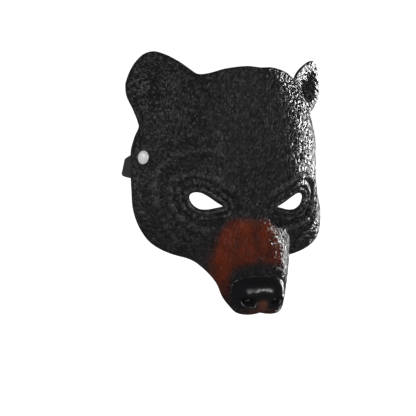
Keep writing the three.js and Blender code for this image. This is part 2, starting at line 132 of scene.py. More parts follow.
# angle in degrees, height: from the middle of the top round one side to the middle of the lip
OUTLINE = [
    (0, 0.98), (22, 0.98), (48, 0.935), (63, 0.875), (72, 0.85), (81, 0.87), (88, 0.902),
    (92.8, 0.924), (96, 0.928), (97.5, 0.905), (98.2, 0.86), (98.4, 0.8), (98.1, 0.735), (97.4, 0.67),
    (96.6, 0.615), (96, 0.555), (95.2, 0.5), (93.6, 0.45), (90.3, 0.41), (87, 0.37), (88.3, 0.28),
    (87.5, 0.18), (83, 0.09), (78.5, 0), (73.5, -0.12), (69.5, -0.225), (64.5, -0.335), (60, -0.42),
    (55, -0.51), (50, -0.57), (43, -0.622), (36, -0.652), (30, -0.665), (25, -0.687), (20, -0.75),
    (16.5, -0.865), (13.5, -0.925), (10.6, -0.97), (7, -0.98), (3.5, -0.976), (0, -0.962),
]
# across, up: shares of the eye opening's length and height
EYE_EDGE = [
    (-0.5, -0.245), (-0.27, 0.035), (-0.02, 0.31), (0.22, 0.47), (0.42, 0.38),
    (0.5, 0.14), (0.42, -0.23), (0.22, -0.48), (-0.02, -0.51), (-0.27, -0.4),
]
EYE_LEVEL = 0.003
# place across, height, width and tallness in shares of the face's half width, rise
FORMS = [
    (0.44, 0.01, 0.3, 0.19, -SOCKET_DEPTH),  # socket
    (0.26, -0.06, 0.11, 0.13, -0.4 * SOCKET_DEPTH),  # its inner corner
    (0.5, 0.19, 0.24, 0.1, BROW_RISE),  # brow
    (0.7, -0.22, 0.2, 0.13, 0.6 * BROW_RISE),  # cheekbone
]
# the strap's run from one side to the middle of the back: shares of half its span, and of its reach
STRAP_RUN = [(1.07, 0.16), (0.95, 0.42), (0.8, 0.62), (0.56, 0.81), (0.29, 0.945), (0, 1)]


def level(share):
    """The height that a share stands for."""
    share = np.asarray(share, float)
    return share * np.where(share > 0, FOREHEAD_HEIGHT, LIP_DROP)


def smooth_step(low, high, x):
    """0 at low, 1 at high, with a soft start and finish; low may be the larger."""
    t = np.clip((x - low) / (high - low), 0, 1)
    return t * t * (3 - 2 * t)


def bell(x, y=0.0):
    return np.exp(-x * x - y * y)


def column(rows, key, height):
    """A section value at a height, on a smooth curve through the rows."""
    h = level([row[0] for row in rows])
    v = np.array([row[key] for row in rows], float)
    inner = (v[2:] - v[:-2]) / (h[2:] - h[:-2])
    slope = np.concatenate([[(v[1] - v[0]) / (h[1] - h[0])], inner, [(v[-1] - v[-2]) / (h[-1] - h[-2])]])
    z = np.clip(height, h[0], h[-1])
    i = np.clip(np.searchsorted(h, z) - 1, 0, len(h) - 2)
    span = h[i + 1] - h[i]
    t = (z - h[i]) / span
    ease = t * t * (3 - 2 * t)
    start = t * (1 - t) ** 2 * span * slope[i]
    finish = t * t * (t - 1) * span * slope[i + 1]
    return v[i] + (v[i + 1] - v[i]) * ease + start + finish


def oval(sine, cosine, half_width, reach, squareness):
    """Distance from the axis to a squarish oval's edge."""
    total = np.abs(sine / half_width) ** squareness + np.abs(cosine / reach) ** squareness
    return total ** (-1 / squareness)


def soft_max(a, b, blend):
    """The larger of two values, with the change from one to the other rounded off."""
    h = np.clip(0.5 + 0.5 * (a - b) / blend, 0, 1)
    return b + (a - b) * h + blend * h * (1 - h)


EAR_CUP_ACROSS = 0.84 * HALF
EAR_CUP_MIDDLE = level(0.7)
EAR_LOW = level(0.31)  # an ear grows out of the face between these heights
EAR_HIGH = level(0.66)
EAR_START = 58  # and between these angles
EAR_FULL = 82
LEAST_FACING = 0.2  # keeps an ear's plane near where it is met at a flat angle
LEAST_AHEAD = 0.05  # keeps the muzzle's section closed toward its sides


def ear_radius(sine, cosine, height, face):
    """The face's radius, grown into the flat, cupped front of an ear."""
    outward = math.cos(EAR_LEAN) * math.sin(EAR_TURN)
    forward = math.cos(EAR_LEAN) * math.cos(EAR_TURN)
    facing = np.maximum(outward * sine + forward * cosine, LEAST_FACING)
    flat = (EAR_DISTANCE - math.sin(EAR_LEAN) * height) / facing
    across = (flat * sine - EAR_CUP_ACROSS) / (EAR_CUP_WIDTH / 2)
    up = (height - EAR_CUP_MIDDLE) / (EAR_CUP_HEIGHT / 2)
    cupped = flat - EAR_CUP_DEPTH * bell(across, up) / facing
    angle = np.degrees(np.arctan2(sine, cosine))
    share = smooth_step(EAR_LOW, EAR_HIGH, height) * smooth_step(EAR_START, EAR_FULL, angle)
    return face + (cupped - face) * share


def form_radius(angle, height):
    """Distance of the wall's plain outside from the upright axis through the origin."""
    sine = np.sin(np.radians(np.abs(angle)))
    cosine = np.cos(np.radians(angle))
    face = oval(
        sine,
        cosine,
        column(FACE_SECTIONS, 1, height) * HALF,
        column(FACE_SECTIONS, 2, height) * FACE_DEPTH,
        column(FACE_SECTIONS, 3, height),
    )
    muzzle = oval(
        sine,
        np.maximum(cosine, LEAST_AHEAD),
        column(MUZZLE_SECTIONS, 1, height) * MUZZLE_WIDTH / 2,
        FACE_DEPTH + column(MUZZLE_SECTIONS, 2, height) * (MUZZLE_REACH - FACE_DEPTH),
        column(MUZZLE_SECTIONS, 3, height),
    )
    eared = soft_max(face, ear_radius(sine, cosine, height, face), EAR_BLEND)
    radius = soft_max(eared, muzzle, MUZZLE_BLEND)
    across = radius * sine
    for place, at, wide, tall, rise in FORMS:
        x = (across - place * HALF) / (wide * HALF)
        z = (height - level(at)) / (tall * HALF)
        radius = radius + rise * bell(x, z)
    return radius


def on_axis(angle, height, radius):
    """The point at an angle from straight ahead, a height and a distance from the upright axis."""
    a = np.radians(angle)
    return np.stack([radius * np.sin(a), -radius * np.cos(a), height + 0 * radius], -1)


def form_point(angle, height):
    return on_axis(angle, height, form_radius(angle, height))


def unit(v):
    return v / np.maximum(np.linalg.norm(v, axis=-1, keepdims=True), 1e-9)


NORMAL_REACH = 1.0  # degrees round, and millimetres up


def form_normal(angle, height):
    """The way straight out of the wall."""
    reach = NORMAL_REACH
    round_way = form_point(angle + reach, height) - form_point(angle - reach, height)
    up_way = form_point(angle, height + reach) - form_point(angle, height - reach)
    return unit(np.cross(round_way, up_way))


def inner_point(angle, height, depth):
    return form_point(angle, height) - depth * form_normal(angle, height)


def smooth_line(points, closed, steps):
    """A centripetal curve through points, with the same number of steps in each stretch."""
    p = np.array(points, float)
    if closed:
        p = np.concatenate([p[-1:], p, p[:2]])
    else:
        p = np.concatenate([2 * p[:1] - p[1:2], p, 2 * p[-1:] - p[-2:-1]])
    gap = np.sqrt(np.linalg.norm(np.diff(p, axis=0), axis=1))[:, None]
    out = []
    for i in range(len(p) - 3):
        a, b, c, d = p[i : i + 4]
        g0, g1, g2 = gap[i : i + 3]
        first = ((b - a) / g0 - (c - a) / (g0 + g1) + (c - b) / g1) * g1
        last = ((c - b) / g1 - (d - b) / (g1 + g2) + (d - c) / g2) * g1
        t = np.linspace(0, 1, steps, endpoint=False)[:, None]
        even = t * t * (3 - 2 * t)
        out.append(b + (c - b) * even + first * t * (1 - t) ** 2 + last * t * t * (t - 1))
    out.append(p[-2:-1])
    return np.concatenate(out)


def run_length(points):
    """Distance along a line of points, from its start to each of them."""
    return np.concatenate([[0], np.cumsum(np.linalg.norm(np.diff(points, axis=0), axis=1))])


def inside_distance(loop, x, y):
    """Distance into a closed line's inside, less than 0 outside it."""
    nearest = np.full(x.shape, np.inf)
    inside = np.zeros(x.shape, bool)
    for a, b in zip(loop[:-1], loop[1:]):
        dx, dy = b - a
        t = np.clip(((x - a[0]) * dx + (y - a[1]) * dy) / max(dx * dx + dy * dy, 1e-12), 0, 1)
        nearest = np.minimum(nearest, np.hypot(x - a[0] - t * dx, y - a[1] - t * dy))
        if a[1] != b[1]:
            crosses = (a[1] > y) != (b[1] > y)
            inside ^= crosses & (x < a[0] + dx * (y - a[1]) / dy)
    return np.where(inside, nearest, -nearest)


one_side = [(angle * DEGREE, float(level(at))) for angle, at in OUTLINE]
other_side = [(-x, z) for x, z in reversed(one_side[1:-1])]
EDGE_LINE = smooth_line(one_side + other_side, True, EDGE_STEPS)
EYE_LINE = smooth_line([(x * EYE_LENGTH, z * EYE_HEIGHT) for x, z in EYE_EDGE], True, EYE_STEPS)


def from_eye(point):
    """How far outward and how far up a point lies from the middle of the nearer eye."""
    return np.abs(point[..., 0]) - EYE_SPACING / 2, point[..., 2] - level(EYE_LEVEL)


def eye_distance(point):
    """Distance from the nearer eye opening's edge, less than 0 within it, seen from the front."""
    return -inside_distance(EYE_LINE, *from_eye(point))


def rivet_frame(sign):
    """The middle of a rivet's seat and the way outward there; sign is 1 on the wearer's left."""
    angle = np.array(sign * RIVET_ANGLE, float)
    height = np.array(RIVET_HEIGHT, float)
    return form_point(angle, height), form_normal(angle, height)


def material_depth(angle, height, point):
    """Distance to the nearest edge or hole, less than 0 where the mask is open."""
    depth = np.minimum(inside_distance(EDGE_LINE, angle * DEGREE, height), eye_distance(point))
    for sign in (1, -1):
        middle, outward = rivet_frame(sign)
        away = point - middle
        off_axis = away - (away @ outward)[..., None] * outward
        hole = np.linalg.norm(off_axis, axis=-1) - POST_DIAMETER / 2 - GAP
        depth = np.minimum(depth, hole)
    return depth


SIDE_RUN = 0.8 * FACE_WIDTH  # about the way along the wall from its middle to its side edge
MARGIN = 2 * SKIN_STEP  # of the grid above the forehead and below the lip
MOST_MOVED = 0.5  # share of a step by which a grid point may move onto an edge


def wall_grid():
    """Angles, heights and material depth of a fine grid, with the places next to an edge moved onto it."""
    top = FOREHEAD_HEIGHT + MARGIN
    bottom = -LIP_DROP - MARGIN
    rows = round((top - bottom) / SKIN_STEP)
    side = round(SIDE_RUN / SKIN_STEP)
    heights = np.linspace(bottom, top, rows + 1)
    coarse = np.arange(EDGE_ANGLE + 1.0)
    line = form_point(coarse[None, :] + 0 * heights[:, None], heights[:, None] + 0 * coarse[None, :])
    length = np.cumsum(np.linalg.norm(np.diff(line, axis=1), axis=-1), axis=1)
    length = np.concatenate([np.zeros((rows + 1, 1)), length], axis=1)
    share = np.linspace(0, 1, side + 1)
    half = np.array([np.interp(share * run[-1], run, coarse) for run in length])
    angle = np.concatenate([-half[:, :0:-1], half], axis=1)
    height = np.repeat(heights[:, None], angle.shape[1], axis=1)
    depth = material_depth(angle, height, form_point(angle, height))
    place = np.stack([angle, height], -1)
    nearest = np.full(depth.shape, MOST_MOVED)
    moved = place.copy()
    for di, dj in ((0, 1), (0, -1), (1, 0), (-1, 0)):
        other = np.roll(depth, (-di, -dj), (0, 1))
        there = np.roll(place, (-di, -dj), (0, 1))
        crosses = depth * other < 0
        t = np.where(crosses, depth / np.where(crosses, depth - other, 1), 1)
        nearer = t <= nearest
        nearest = np.where(nearer, t, nearest)
        moved = np.where(nearer[..., None], place + t[..., None] * (there - place), moved)
    on_edge = (moved != place).any(-1)
    depth = np.where(on_edge, 0, depth)
    return moved[..., 0], moved[..., 1], depth


def wall_faces(depth):
    """Quads and triangles of the grid that lie on material, as index lists."""
    rows, cols = depth.shape
    index = np.arange(rows * cols).reshape(rows, cols)
    a, b, c, d = index[:-1, :-1], index[:-1, 1:], index[1:, 1:], index[1:, :-1]
    flat = depth.ravel()
    lowest = np.minimum.reduce([flat[k] for k in (a, b, c, d)])
    highest = np.maximum.reduce([flat[k] for k in (a, b, c, d)])
    whole = (lowest >= 0) & (highest > 0)
    quads = np.stack([a[whole], b[whole], c[whole], d[whole]], -1)
    cut = (lowest < 0) & (highest > 0)
    a, b, c, d = a[cut], b[cut], c[cut], d[cut]
    split_across = ((flat[a] < 0) | (flat[c] < 0))[:, None]
    first = np.where(split_across, np.stack([a, b, d], -1), np.stack([a, b, c], -1))
    second = np.where(split_across, np.stack([b, c, d], -1), np.stack([a, c, d], -1))
    corners = np.concatenate([first, second])
    keep = (flat[corners].min(1) >= 0) & (flat[corners].max(1) > 0)
    return quads, corners[keep]


def border(groups):
    """Directed edges that have a face on one side only."""
    pairs = []
    for faces in groups:
        sides = faces.shape[1]
        pairs += [np.stack([faces[:, k], faces[:, (k + 1) % sides]], -1) for k in range(sides)]
    seen = set(map(tuple, np.concatenate(pairs).tolist()))
    return [(a, b) for a, b in seen if (b, a) not in seen]


# Relief of the moulded surface

# distance from the opening, rise, width, and the heights and places across where a ring fades in
EYE_RINGS = [
    (2.4, 1.7, 1.25, None, None),  # lid
    (5.2, -1.4, 1.25, None, None),  # groove round it
    (7.8, 1.5, 1.5, (8, -4), None),  # second ridge, below
    (11.6, -1.5, 2.6, (6, -6), None),  # hollow below that
    (18, 1.1, 4, (2, -8), (-14, 0)),  # pouch
    (16, 1.8, 2, None, (-4, 10)),  # ridge on the outer side
    (21.5, -1.5, 2.8, (-28, -10), (2, 14)),  # trough past it
    (8.5, 0.9, 2.6, (0, 7), None),  # fold above
    (12.4, -0.7, 1.9, (2, 9), None),  # dent over the fold
    (17.5, 1.4, 3.6, (4, 13), None),  # lower edge of the brow
]
RINGS_WIDTH = 42  # how far across and up from an eye its rings reach
RINGS_HEIGHT = 30


def eye_relief(point):
    """Lids, the fold above and the rings round each eye."""
    gap = eye_distance(point)
    across, up = from_eye(point)
    relief = np.zeros(gap.shape)
    for at, rise, width, fade_up, fade_across in EYE_RINGS:
        ring = rise * bell((gap - at) / width)
        if fade_up:
            ring = ring * smooth_step(*fade_up, up)
        if fade_across:
            ring = ring * smooth_step(*fade_across, across)
        relief += ring
    return relief * smooth_step(0.08, 0.5, bell(across / RINGS_WIDTH, up / RINGS_HEIGHT))


EAR_BOWL_DEPTH = 4
EAR_BOWL_WIDTH = 13
EAR_BOWL_HEIGHT = 14


def ear_relief(point):
    """The bowl of each ear, below its plain cup."""
    across = np.abs(point[..., 0]) - EAR_CUP_ACROSS
    up = point[..., 2] - EAR_CUP_MIDDLE
    return -EAR_BOWL_DEPTH * bell(across / EAR_BOWL_WIDTH, up / EAR_BOWL_HEIGHT)


# radius, rise, width, from and to in degrees round the eye from straight outward
WRINKLES = [
    (31, 0.3, 2.4, -60, 118),
    (38, -0.5, 2.2, -52, 112),
    (45, 1.0, 2.4, -70, 110),
    (51, -0.4, 2.4, -50, 104),
    (58, 0.5, 2.8, -44, 100),
    (33, -0.7, 1.8, -96, -40),
    (41, -0.6, 2.0, -100, -58),
]
WRINKLE_FADE = 14  # degrees over which a wrinkle dies away, to either side of its end
ARC_WIDTH = 1.02  # the arcs are a little taller than they are wide
ARC_HEIGHT = 0.94


def wrinkle_relief(point):
    """Shallow arcs round the outer side of each eye, up onto the forehead and down the cheek."""
    across, up = from_eye(point)
    away = np.hypot(across * ARC_WIDTH, up * ARC_HEIGHT)
    turn = np.degrees(np.arctan2(up, across))
    waves = np.zeros(away.shape)
    for radius, rise, width, low, high in WRINKLES:
        reach = smooth_step(low - WRINKLE_FADE, low + WRINKLE_FADE, turn)
        reach = reach * smooth_step(high + WRINKLE_FADE, high - WRINKLE_FADE, turn)
        waves += rise * bell((away - radius) / width) * reach
    return waves


BULB_WIDTH = 54
BULB_HEIGHT = 18.5
BULB_ABOVE = 6.2  # from the middle of the nose
BULB_DROOP = 0.0025  # how its sides hang, by the square of the distance across
BULB_RISE = 4.6
NOSTRIL_WIDTH = 17.5
NOSTRIL_HEIGHT = 11
NOSTRIL_BELOW = 4.6
NOSTRIL_DEPTH = 5.2
WING_RISE = 1.1
NOSE_BASE_RISE = 1.6
NOSE_MARGIN = (1.5, 1)  # how far the raised nose stands past the plain one, across and up
NOSE_START = -70  # the nose's forms fade in between these places, from back to front
NOSE_FULL = -100


def squarish(x, y, power):
    """How far out a point is in a squarish oval, where 1 is on its edge."""
    return (np.abs(x) ** power + np.abs(y) ** power) ** (1 / power)


def nose_place(point):
    """Distance from the middle line, and height over the middle of the nose."""
    return np.abs(point[..., 0]), point[..., 2] + NOSE_MIDDLE


def nose_edge(wide, z):
    """How far out a place is in the whole nose, where 1 is on its edge."""
    across, up = NOSE_MARGIN
    return squarish(wide / (NOSE_WIDTH / 2 + across), (z - 0.8) / (NOSE_HEIGHT / 2 + up), 3.2)


def nose_front(point):
    return smooth_step(NOSE_START, NOSE_FULL, point[..., 1])


def nose_relief(point):
    """A rounded bulb, two nostrils with their wings, and the split between them."""
    wide, z = nose_place(point)
    drooping = z - BULB_ABOVE + BULB_DROOP * wide**2
    bulb = squarish(wide / (BULB_WIDTH / 2), drooping / (BULB_HEIGHT / 2), 2.7)
    aside = (wide - NOSTRIL_SPACING / 2) / (NOSTRIL_WIDTH / 2)
    nostril = squarish(aside, (z + NOSTRIL_BELOW) / (NOSTRIL_HEIGHT / 2), 2)
    whole = nose_edge(wide, z)
    base = NOSE_BASE_RISE * (1 - smooth_step(0.8, 1.05, whole))
    furrow = 0.35 * bell(wide / 4.5) * smooth_step(1, 0.8, bulb)
    dome = BULB_RISE * (1 - np.minimum(bulb, 1) ** 2) ** 0.6 - furrow
    under = smooth_step(0.5, -4, z)
    pit = -NOSTRIL_DEPTH * (1 - smooth_step(0.3, 1.02, nostril)) * under
    wing = WING_RISE * bell((nostril - 1.32) / 0.26) * under * smooth_step(4, 9, wide)
    split = -0.9 * bell(wide / 1.3) * smooth_step(2, -2, z)
    crease = -0.3 * bell((whole - 1.1) / 0.12)
    return (base + dome + pit + wing + split + crease) * nose_front(point)


# Paint, as shares from 0 to 1

def pad_share(point):
    """1 on the glossy nose and 0 away from it."""
    return (1 - smooth_step(0.98, 1.12, nose_edge(*nose_place(point)))) * nose_front(point)


def septum_share(point):
    """1 on the dull skin between the nostrils, less on the lip below it."""
    wide, z = nose_place(point)
    between = smooth_step(8, 2, wide) * smooth_step(-1, -7, z)
    lip = 0.55 * smooth_step(24, 8, wide) * smooth_step(-10, -15, z)
    return np.maximum(between, lip) * nose_front(point)


# z, half width: the rust-brown patch on the muzzle
PATCH_ROWS = [
    (-100, 22), (-92, 25), (-84, 31), (-76, 37), (-66, 42), (-50, 43.5), (-41, 41), (-31, 36), (-23, 31),
    (-16, 26), (-11, 21), (-7, 15),
]
PATCH_SHADE_SIDE_TOP = 0.86  # share of that half width on the wearer's left, narrower there as painted shade: black stands in for the shade on that slope
PATCH_SHADE_SIDE_LOW = 0.62
PATCH_BLUR = 9
COLLAR_WIDTH = 62  # the black collar round the nose
COLLAR_HEIGHT = 44
COLLAR_ABOVE = 1  # from the middle of the nose
STRIPE = 0.45  # how dark the stripe down the middle of the patch is
PAINTED_SHADE = 0.3  # painted shade: how much darker the wearer's left side of the patch is, standing in for the shade on that slope


def rust_share(point):
    """1 well inside the patch, 0 well outside it; the hair breaks the edge up, and painted shade narrows
    and darkens it on the wearer's left.
    """
    left = point[..., 0]
    wide = np.abs(left)
    z = point[..., 2]
    edge = np.interp(z, [row[0] for row in PATCH_ROWS], [row[1] for row in PATCH_ROWS])
    # painted shade: the patch is narrower on the wearer's left, where its slope lies in shade
    shade_side_share = PATCH_SHADE_SIDE_TOP + (PATCH_SHADE_SIDE_LOW - PATCH_SHADE_SIDE_TOP) * smooth_step(-30, -62, z)
    edge = edge * np.where(left > 0, shade_side_share, 1)
    patch = smooth_step(PATCH_BLUR, -PATCH_BLUR, wide - edge)
    patch = patch * smooth_step(-4, -22, z) * smooth_step(-98, -76, z)
    up = z + NOSE_MIDDLE - COLLAR_ABOVE
    collar = squarish(wide / (COLLAR_WIDTH / 2), up / (COLLAR_HEIGHT / 2), 3)
    stripe = STRIPE * bell(wide / 6.5) * smooth_step(-12, -30, z) * smooth_step(-52, -44, z)
    # painted shade: the wearer's left side of the patch is darker
    shade = PAINTED_SHADE * smooth_step(-6, 14, left) * smooth_step(-12, -34, z)
    return patch * smooth_step(0.8, 1.38, collar) * (1 - stripe) * (1 - shade)


EAR_PALENESS = 0.5


def ridge_highlight_and_ear_share(point, rings, pad):
    """Painted highlight on the ridges round the eyes, where light catches them, and paler hair on the ears.
    """
    ear = smooth_step(58, 80, np.abs(point[..., 0])) * smooth_step(48, 76, point[..., 2])
    return np.clip(rings, 0, 1) * (1 - pad) + EAR_PALENESS * ear


# Moulded hair

HAIR_START = np.array([0.0, -MUZZLE_REACH, -NOSE_MIDDLE + 14])  # it lies away from here
HAIR_DEPTH_SHARE = 0.55  # how much the way back from there counts
EYE_BEND = 0.7  # how far the hair turns to lie round an eye
BEND_WIDTH = 26  # how far across and up from the eye it does
BEND_HEIGHT = 20
FLOW_TURN = 40  # cells of the fine strokes to a radian round the nose
FLOW_STEP = 3.0  # millimetres along a cell
LOCKS = 12000
LOCK_LENGTH = (1.9, 3.4)
LOCK_WIDTH = (0.95, 1.45)
LOCK_RISE = (0.25, 1.0)
LOCK_SCATTER = 0.5
LOCK_TWIST = 0.45  # in radians
LOCK_REACH = 6  # grid steps to either side that a lock may cover


def hair_way(point, normal):
    """The way the moulded hair lies: away from the nose, bent round the eyes."""
    away = (point - HAIR_START) * np.array([1.0, HAIR_DEPTH_SHARE, 1.0])
    across, up = from_eye(point)
    side = np.sign(point[..., 0])
    x = across / BEND_WIDTH
    z = up / BEND_HEIGHT
    near = bell(x, z)[..., None]
    around = np.stack([side * (0.3 + z), 0 * z, np.where(z > 0, 1, -1) * (0.6 - x)], -1)
    way = unit(away) * (1 - EYE_BEND * near) + EYE_BEND * near * unit(around)
    way = way - (way * normal).sum(-1, keepdims=True) * normal
    return unit(way)


def hair_relief(point, normal, depth):
    """Overlapping moulded locks, each a low ridge that lies the way the hair does."""
    rng = np.random.default_rng(SEED)
    rows, cols = depth.shape
    free = np.argwhere(depth > 0.4)
    pick = free[rng.integers(0, len(free), LOCKS)]
    i0, j0 = pick[:, 0], pick[:, 1]
    middle = point[i0, j0] + rng.normal(0, LOCK_SCATTER, (LOCKS, 3))
    up = normal[i0, j0]
    way = hair_way(point, normal)[i0, j0]
    twist = rng.normal(0, LOCK_TWIST, LOCKS)[:, None]
    way = way * np.cos(twist) + np.cross(up, way) * np.sin(twist)
    over = np.cross(up, way)
    long = rng.uniform(*LOCK_LENGTH, LOCKS)
    wide = rng.uniform(*LOCK_WIDTH, LOCKS)
    rise = rng.uniform(*LOCK_RISE, LOCKS)
    relief = np.zeros(depth.shape)
    for di in range(-LOCK_REACH, LOCK_REACH + 1):
        for dj in range(-LOCK_REACH, LOCK_REACH + 1):
            i = i0 + di
            j = j0 + dj
            ok = (i >= 0) & (i < rows) & (j >= 0) & (j < cols)
            i, j = i[ok], j[ok]
            off = point[i, j] - middle[ok]
            along = (off * way[ok]).sum(-1) / long[ok]
            aside = (off * over[ok]).sum(-1) / wide[ok]
            np.maximum.at(relief, (i, j), rise[ok] * bell(along, aside))
    return relief


def hair_flow(point, angle):
    """Coordinates across and along the hair, for the fine strokes in its paint."""
    rise = point[..., 2] + NOSE_MIDDLE + 4
    back = HAIR_DEPTH_SHARE * (point[..., 1] + MUZZLE_REACH)
    away = np.sqrt(point[..., 0] ** 2 + back**2 + rise**2)
    turn = np.arctan2(angle * DEGREE * 0.9, rise)
    return np.stack([turn * FLOW_TURN, away / FLOW_STEP, 0 * away], -1)


# Materials

BLACK_HAIR = (0.008, 0.0075, 0.0083)
GREY_HAIR = (0.085, 0.078, 0.083)
RUST = (0.126, 0.017, 0.0038)
DARK_RUST = (0.045, 0.009, 0.0045)
NOSE_BLACK = (0.006, 0.006, 0.007)
SEPTUM_BROWN = (0.062, 0.017, 0.0085)
RAW_FOAM = (0.05, 0.045, 0.042)
DARK_FOAM = (0.03, 0.027, 0.026)
METAL = (0.93, 0.93, 0.91)
SCUFFED_METAL = (0.8, 0.8, 0.79)
ELASTIC = (0.016, 0.014, 0.015)
DARK_ELASTIC = (0.006, 0.0055, 0.006)
HAIR_ROUGHNESS = (0.13, 0.2)  # from the glossiest hair to the dullest
NOSE_ROUGHNESS = 0.17
SEPTUM_ROUGHNESS = 0.5
FOAM_ROUGHNESS = 0.8
HAIR_BUMP = 0.0026
WEAVE_BUMP = 0.0003
STROKE_STRETCH = (6.5, 1.0, 1.0)  # narrow across the hair, long along it
CLOUD_SCALE = 70.0  # of the noise, in cells to a metre
GRAIN_SCALE = 1500.0
SCUFF_SCALE = 900.0


def plain_material(name):
    """A new material, its node tree and its one shader."""
    material = bpy.data.materials.new(name)
    material.use_nodes = True
    tree = material.node_tree
    tree.nodes.clear()
    out = tree.nodes.new("ShaderNodeOutputMaterial")
    shader = tree.nodes.new("ShaderNodeBsdfPrincipled")
    tree.links.new(shader.outputs["BSDF"], out.inputs["Surface"])
    return material, tree, shader


def make_node(tree, kind, **settings):
    """A new node; each setting is one of its inputs or one of its own properties."""
    node = tree.nodes.new(kind)
    for key, value in settings.items():
        if key in node.inputs:
            node.inputs[key].default_value = value
        else:
            setattr(node, key, value)
    return node


def put(tree, socket, value):
    """Feeds a socket from another socket, a colour or a number."""
    if isinstance(value, bpy.types.NodeSocket):
        tree.links.new(value, socket)
    elif isinstance(value, tuple):
        socket.default_value = (*value, 1)
    else:
        socket.default_value = value


def attribute(tree, name, output="Fac"):
    return make_node(tree, "ShaderNodeAttribute", attribute_name=name).outputs[output]


def object_place(tree):
    return make_node(tree, "ShaderNodeTexCoord").outputs["Object"]


def noise(tree, place, scale, detail, roughness):
    node = make_node(tree, "ShaderNodeTexNoise", Scale=scale, Detail=detail, Roughness=roughness)
    put(tree, node.inputs["Vector"], place)
    return node.outputs["Fac"]


def mix(tree, share, low, high, kind="RGBA"):
    """From low to high by a share, as colours, or as numbers where kind is FLOAT."""
    node = make_node(tree, "ShaderNodeMix", data_type=kind)
    for name, value in (("Factor", share), ("A", low), ("B", high)):
        put(tree, node.inputs[name], value)
    return node.outputs["Result"]


def maths(tree, operation, *values):
    node = make_node(tree, "ShaderNodeMath", operation=operation)
    for socket, value in zip(node.inputs, values):
        put(tree, socket, value)
    return node.outputs["Value"]


def ramp(tree, source, low, high, to_low=0.0, to_high=1.0):
    """A source's range from low to high, softly turned into another range."""
    node = make_node(tree, "ShaderNodeMapRange", interpolation_type="SMOOTHSTEP")
    ends = {"Value": source, "From Min": low, "From Max": high, "To Min": to_low, "To Max": to_high}
    for name, value in ends.items():
        put(tree, node.inputs[name], value)
    return node.outputs["Result"]


def add_bump(tree, shader, height, strength, distance):
    node = make_node(tree, "ShaderNodeBump", Strength=strength, Distance=distance)
    put(tree, node.inputs["Height"], height)
    put(tree, shader.inputs["Normal"], node.outputs["Normal"])


def fur_foam():
    """Painted moulded foam: black locks, a rust-brown muzzle, a glossy nose and a raw inside."""
    material, tree, shader = plain_material("painted_foam")
    pad = attribute(tree, "pad")
    septum = attribute(tree, "septum")
    inside = attribute(tree, "inside")
    flow = attribute(tree, "flow", "Vector")
    place = object_place(tree)
    stretch = make_node(tree, "ShaderNodeVectorMath", operation="MULTIPLY")
    put(tree, stretch.inputs[0], flow)
    stretch.inputs[1].default_value = STROKE_STRETCH
    cloudy = noise(tree, place, CLOUD_SCALE, 4.0, 0.6)
    grain = noise(tree, place, GRAIN_SCALE, 2.0, 0.6)
    fine = noise(tree, flow, 1.0, 1.0, 0.4)
    stroke = noise(tree, stretch.outputs["Vector"], 1.0, 3.0, 0.6)

    tip = maths(tree, "MULTIPLY_ADD", stroke, 0.85, maths(tree, "MULTIPLY", attribute(tree, "lock"), 0.25))
    # painted highlight: paler hair on the ridges round the eyes, and on the ears
    tip = maths(tree, "MULTIPLY_ADD", attribute(tree, "ridge_highlight_and_ears"), 0.09, tip)
    black = mix(tree, ramp(tree, tip, 0.54, 0.88), BLACK_HAIR, GREY_HAIR)
    tone = maths(tree, "MULTIPLY_ADD", cloudy, 0.7, maths(tree, "MULTIPLY", stroke, 0.5))
    brown = mix(tree, ramp(tree, tone, 0.42, 0.8), DARK_RUST, RUST)
    ragged = maths(tree, "MULTIPLY_ADD", stroke, 1.3, -0.65)
    patch = ramp(tree, maths(tree, "ADD", attribute(tree, "rust"), ragged), 0.14, 0.86)
    painted = mix(tree, patch, black, brown)
    painted = mix(tree, pad, painted, NOSE_BLACK)
    painted = mix(tree, septum, painted, SEPTUM_BROWN)
    foam = mix(tree, ramp(tree, cloudy, 0.3, 0.7), DARK_FOAM, RAW_FOAM)
    put(tree, shader.inputs["Base Color"], mix(tree, inside, painted, foam))

    dull = ramp(tree, fine, 0.3, 0.7, *HAIR_ROUGHNESS)
    dull = mix(tree, pad, dull, NOSE_ROUGHNESS, "FLOAT")
    dull = mix(tree, septum, dull, SEPTUM_ROUGHNESS, "FLOAT")
    put(tree, shader.inputs["Roughness"], mix(tree, inside, dull, FOAM_ROUGHNESS, "FLOAT"))
    shader.inputs["Specular IOR Level"].default_value = 0.3

    hairy = maths(tree, "SUBTRACT", 1.0, attribute(tree, "calm"))
    depth = maths(tree, "MULTIPLY_ADD", hairy, 0.97, 0.03)
    rough = maths(tree, "MULTIPLY", maths(tree, "MULTIPLY_ADD", grain, 0.06, fine), depth)
    pores = maths(tree, "MULTIPLY", inside, 0.12)
    add_bump(tree, shader, maths(tree, "MULTIPLY_ADD", grain, pores, rough), 1.0, HAIR_BUMP)
    return material


def satin_metal():
    """Satin nickel with fine scuffs."""
    material, tree, shader = plain_material("satin_nickel")
    scuff = noise(tree, object_place(tree), SCUFF_SCALE, 4.0, 0.7)
    shader.inputs["Metallic"].default_value = 0.5
    put(tree, shader.inputs["Base Color"], mix(tree, scuff, METAL, SCUFFED_METAL))
    put(tree, shader.inputs["Roughness"], ramp(tree, scuff, 0.3, 0.8, 0.42, 0.58))
    return material


def wave(tree, place, direction, scale, distortion):
    node = make_node(tree, "ShaderNodeTexWave", wave_type="BANDS", bands_direction=direction,
                     Scale=scale, Distortion=distortion)
    put(tree, node.inputs["Vector"], place)
    return node.outputs["Fac"]


